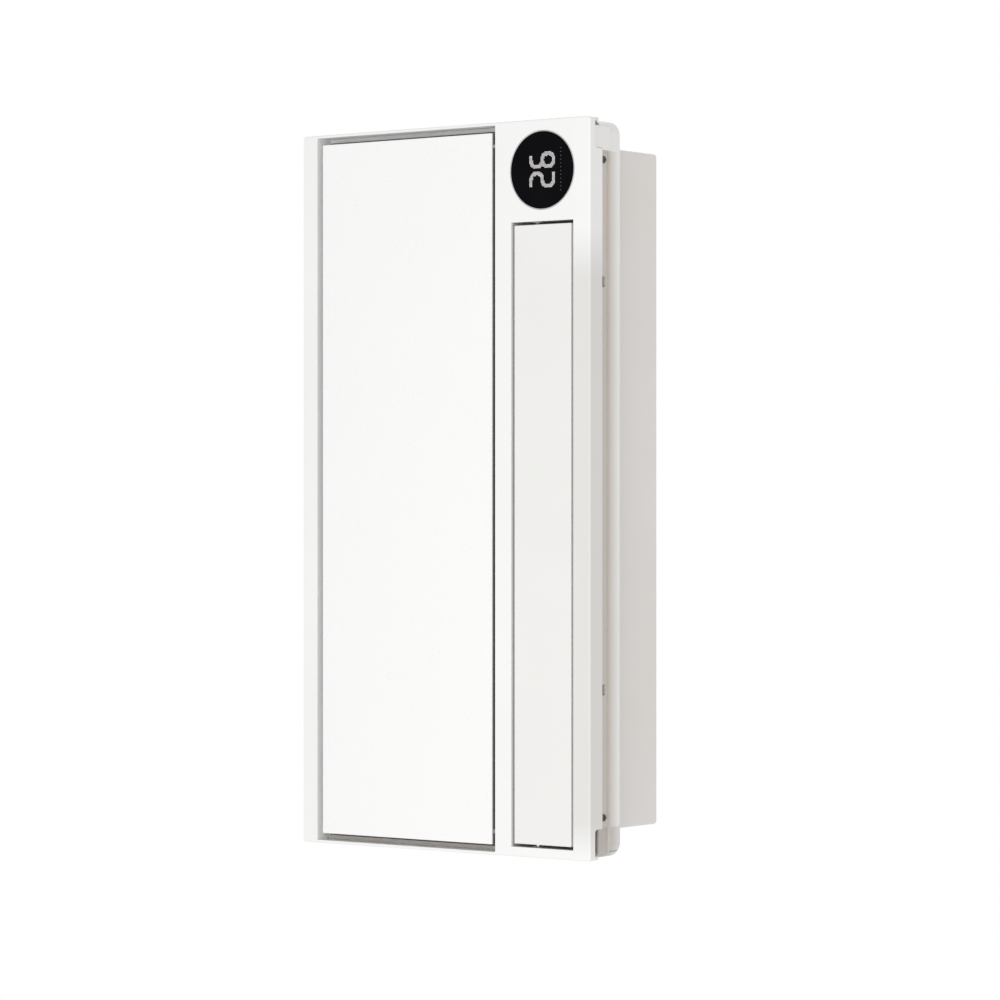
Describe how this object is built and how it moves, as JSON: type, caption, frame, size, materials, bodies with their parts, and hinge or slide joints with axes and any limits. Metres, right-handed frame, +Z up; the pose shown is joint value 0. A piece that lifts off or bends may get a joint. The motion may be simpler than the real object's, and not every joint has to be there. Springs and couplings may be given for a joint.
{
  "type": "bathroom ceiling heater",
  "caption": "Flush ceiling heater with a hinged lamp panel, a motor louver over the warm-air outlet, a round display, a fan with a damper and a side duct outlet.",
  "frame": {"origin": "centre of the four ceiling screws, on the back plane of the mounting tray", "axes": "+Z up into the ceiling, +X along the face towards the display, +Y across towards the louver; the face looks down along -Z"},
  "size_m": [0.6, 0.313, 0.128],
  "materials": {
    "face_white": "satin moulded",
    "tray_white": "moulded",
    "housing_white": "powder coat",
    "lamp_opal": "opal satin",
    "light_guide": "clear acrylic",
    "led_strip": "light strip",
    "zinc_sheet": "galvanised sheet",
    "steel": "bright",
    "screw_zinc": "zinc plated",
    "magnet": "ferrite",
    "louver_white": "satin moulded",
    "acetal": "moulded",
    "duct_grey": "heat-proof moulded",
    "heater_black": "heat-proof moulded",
    "fin_aluminium": "mill",
    "fan_black": "moulded",
    "blower_grey": "moulded",
    "motor_can": "plated",
    "grille_white": "moulded",
    "display_black": "gloss",
    "bezel_silver": "polished",
    "board_green": "solder mask",
    "box_grey": "moulded",
    "gland_white": "nylon"
  },
  "bodies": {
    "heater_body": {"face_frame": "face_white", "mounting_tray": "tray_white", "housing": "housing_white", "frame_screws": "screw_zinc", "flange_screws": "screw_zinc", "lamp_hinge_arms": "acetal", "lamp_catches": "acetal", "lamp_catch_magnets": "magnet", "louver_bushes": "acetal", "louver_motor": "motor_can", "louver_motor_bracket": "zinc_sheet", "outlet_duct": "duct_grey", "heater_frame": "heater_black", "heater_bars": "fin_aluminium", "heater_fins": "fin_aluminium", "thermal_cutout": "heater_black", "outlet_plenum": "zinc_sheet", "scroll_casing": "blower_grey", "scroll_cover": "blower_grey", "inlet_ring": "blower_grey", "fan_bearings": "steel", "fan_motor": "motor_can", "inlet_grille": "grille_white", "switching_chamber": "blower_grey", "damper_motor": "motor_can", "duct_spigot": "gland_white", "spigot_screws": "screw_zinc", "display_bezel": "bezel_silver", "display_glass": "display_black", "display_module": "heater_black", "display_board": "board_green", "control_base": "box_grey", "control_board": "board_green", "control_cover": "box_grey", "lamp_driver": "zinc_sheet", "terminal_block": "gland_white", "cable_gland": "gland_white"},
    "lamp_panel": {"lamp_diffuser": "lamp_opal", "lamp_light_guide": "light_guide", "lamp_led_strips": "led_strip", "lamp_back_plate": "zinc_sheet", "lamp_hinge_pins": "steel"},
    "louver": {"louver_vane": "louver_white", "louver_pin": "steel", "louver_sector": "acetal"},
    "louver_drive": {"louver_pinion": "acetal", "louver_motor_shaft": "steel"},
    "fan": {"fan_impeller": "fan_black", "fan_shaft": "steel"},
    "damper": {"damper_flap": "fan_black", "damper_shaft": "steel"},
    "flap": {"backdraft_flap": "grille_white", "flap_pin": "steel"}
  },
  "joints": [
    {"name": "lamp_hinge", "type": "hinge", "parent": "heater_body", "child": "lamp_panel", "pos_m": [0, 0.0477, -0.0402], "axis": [1, 0, 0], "range_deg": [0, 85]},
    {"name": "louver_swing", "type": "hinge", "parent": "heater_body", "child": "louver", "pos_m": [0, 0.0932, -0.038], "axis": [-1, 0, 0], "range_deg": [0, 90]},
    {"name": "louver_drive_spin", "type": "hinge", "parent": "heater_body", "child": "louver_drive", "pos_m": [0, 0.0932, -0.022], "axis": [1, 0, 0], "range_deg": [0, 150]},
    {"name": "fan_spin", "type": "hinge", "parent": "heater_body", "child": "fan", "pos_m": [-0.165, -0.036, 0], "axis": [0, 0, -1], "continuous": true},
    {"name": "damper_swing", "type": "hinge", "parent": "heater_body", "child": "damper", "pos_m": [0.0075, 0.06, 0], "axis": [0, 0, -1], "range_deg": [0, 40]},
    {"name": "flap_swing", "type": "hinge", "parent": "heater_body", "child": "flap", "pos_m": [-0.03, -0.119, 0.048], "axis": [-1, 0, 0], "range_deg": [0, 70]}
  ],
  "couplings": [
    {"joint": "louver_drive_spin", "follows": "louver_swing", "ratio": 1.6667}
  ]
}
